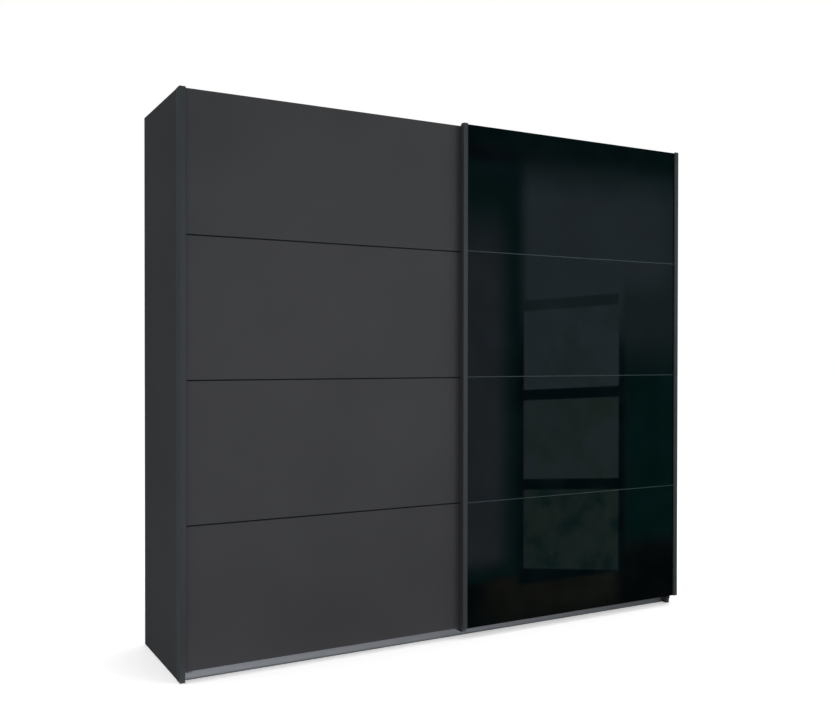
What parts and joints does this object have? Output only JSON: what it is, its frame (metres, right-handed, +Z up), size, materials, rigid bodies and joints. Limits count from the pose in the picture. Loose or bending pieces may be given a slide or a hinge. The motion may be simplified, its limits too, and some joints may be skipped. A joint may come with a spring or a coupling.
{
  "type": "sliding door wardrobe",
  "caption": "Free-standing graphite wardrobe with two overlapping hanging doors that slide on a top track: a grooved board door and a black glass door.",
  "frame": {"origin": "on the floor, in the middle of the overall width and depth", "axes": "+Z up, front of the doors towards -Y, +X to the right of someone facing the doors"},
  "size_m": [2.26, 0.616, 2.1],
  "materials": {
    "graphite_board": "matt graphite laminate on particle board",
    "door_board": "matt graphite laminate, horizontal grooves",
    "carcass_board": "grey laminate on particle board",
    "plinth_board": "light grey laminate",
    "dark_aluminium": "graphite anodised extrusion",
    "joint_aluminium": "satin grey anodised strip",
    "track_aluminium": "mill finish extrusion",
    "black_glass": "back-painted black glass, polished",
    "hardboard": "grey printed hardboard",
    "dark_plastic": "moulded, matt",
    "white_nylon": "moulded nylon",
    "stop_rubber": "black rubber",
    "chrome_tube": "polished chrome",
    "beech": "plain beech",
    "cast_zinc": "cast zinc",
    "zinc_steel": "zinc-plated steel"
  },
  "bodies": {
    "root": {"back_joint_strip": "dark_plastic", "back_nails": "zinc_steel", "back_panel_left": "hardboard", "back_panel_right": "hardboard", "bottom_guide_rail": "track_aluminium", "bottom_panel": "carcass_board", "cam_bolts": "zinc_steel", "cam_locks": "cast_zinc", "carcass_screws": "zinc_steel", "centre_partition": "carcass_board", "clothes_rails": "chrome_tube", "dowels": "beech", "floor_glides": "dark_plastic", "hat_shelf_left": "carcass_board", "hat_shelf_right": "carcass_board", "low_shelf_right": "carcass_board", "plinth_front": "plinth_board", "plinth_middle": "carcass_board", "plinth_rear": "carcass_board", "rail_sockets": "dark_plastic", "shelf_pins": "zinc_steel", "side_panel_left": "graphite_board", "side_panel_right": "graphite_board", "side_trim_left": "dark_aluminium", "side_trim_right": "dark_aluminium", "top_panel": "carcass_board", "top_track": "track_aluminium", "track_stops": "stop_rubber", "wall_brackets": "zinc_steel"},
    "rear_door": {"rear_door_axles": "zinc_steel", "rear_door_end_caps": "dark_plastic", "rear_door_guide_pins": "white_nylon", "rear_door_guides": "zinc_steel", "rear_door_hangers": "zinc_steel", "rear_door_panel": "door_board", "rear_door_profile_left": "dark_aluminium", "rear_door_profile_right": "dark_aluminium", "rear_door_screws": "zinc_steel"},
    "front_door": {"front_door_axles": "zinc_steel", "front_door_backing": "carcass_board", "front_door_end_caps": "dark_plastic", "front_door_guide_pins": "white_nylon", "front_door_guides": "zinc_steel", "front_door_hangers": "zinc_steel", "front_door_joint_strips": "joint_aluminium", "front_door_pane_1": "black_glass", "front_door_pane_2": "black_glass", "front_door_pane_3": "black_glass", "front_door_pane_4": "black_glass", "front_door_profile_left": "dark_aluminium", "front_door_profile_right": "dark_aluminium", "front_door_screws": "zinc_steel"},
    "front_door_wheel_1": {"front_door_wheel_1": "white_nylon"},
    "front_door_wheel_2": {"front_door_wheel_2": "white_nylon"},
    "front_door_wheel_3": {"front_door_wheel_3": "white_nylon"},
    "front_door_wheel_4": {"front_door_wheel_4": "white_nylon"},
    "rear_door_wheel_1": {"rear_door_wheel_1": "white_nylon"},
    "rear_door_wheel_2": {"rear_door_wheel_2": "white_nylon"},
    "rear_door_wheel_3": {"rear_door_wheel_3": "white_nylon"},
    "rear_door_wheel_4": {"rear_door_wheel_4": "white_nylon"}
  },
  "joints": [
    {"name": "rear_door_slide", "type": "slide", "parent": "root", "child": "rear_door", "axis": [1, 0, 0], "range_m": [0, 1.078]},
    {"name": "front_door_slide", "type": "slide", "parent": "root", "child": "front_door", "axis": [1, 0, 0], "range_m": [-1.078, 0]},
    {"name": "rear_door_wheel_1_spin", "type": "hinge", "parent": "rear_door", "child": "rear_door_wheel_1", "pos_m": [-1.04, -0.23, 2.076], "axis": [0, 1, 0], "continuous": true},
    {"name": "rear_door_wheel_2_spin", "type": "hinge", "parent": "rear_door", "child": "rear_door_wheel_2", "pos_m": [-0.98, -0.23, 2.076], "axis": [0, 1, 0], "continuous": true},
    {"name": "rear_door_wheel_3_spin", "type": "hinge", "parent": "rear_door", "child": "rear_door_wheel_3", "pos_m": [-0.138, -0.23, 2.076], "axis": [0, 1, 0], "continuous": true},
    {"name": "rear_door_wheel_4_spin", "type": "hinge", "parent": "rear_door", "child": "rear_door_wheel_4", "pos_m": [-0.078, -0.23, 2.076], "axis": [0, 1, 0], "continuous": true},
    {"name": "front_door_wheel_1_spin", "type": "hinge", "parent": "front_door", "child": "front_door_wheel_1", "pos_m": [0.078, -0.2, 2.076], "axis": [0, 1, 0], "continuous": true},
    {"name": "front_door_wheel_2_spin", "type": "hinge", "parent": "front_door", "child": "front_door_wheel_2", "pos_m": [0.138, -0.2, 2.076], "axis": [0, 1, 0], "continuous": true},
    {"name": "front_door_wheel_3_spin", "type": "hinge", "parent": "front_door", "child": "front_door_wheel_3", "pos_m": [0.98, -0.2, 2.076], "axis": [0, 1, 0], "continuous": true},
    {"name": "front_door_wheel_4_spin", "type": "hinge", "parent": "front_door", "child": "front_door_wheel_4", "pos_m": [1.04, -0.2, 2.076], "axis": [0, 1, 0], "continuous": true}
  ],
  "couplings": [
    {"joint": "rear_door_wheel_1_spin", "follows": "rear_door_slide", "rad_per_m": 100},
    {"joint": "rear_door_wheel_2_spin", "follows": "rear_door_slide", "rad_per_m": 100},
    {"joint": "rear_door_wheel_3_spin", "follows": "rear_door_slide", "rad_per_m": 100},
    {"joint": "rear_door_wheel_4_spin", "follows": "rear_door_slide", "rad_per_m": 100},
    {"joint": "front_door_wheel_1_spin", "follows": "front_door_slide", "rad_per_m": 100},
    {"joint": "front_door_wheel_2_spin", "follows": "front_door_slide", "rad_per_m": 100},
    {"joint": "front_door_wheel_3_spin", "follows": "front_door_slide", "rad_per_m": 100},
    {"joint": "front_door_wheel_4_spin", "follows": "front_door_slide", "rad_per_m": 100}
  ]
}
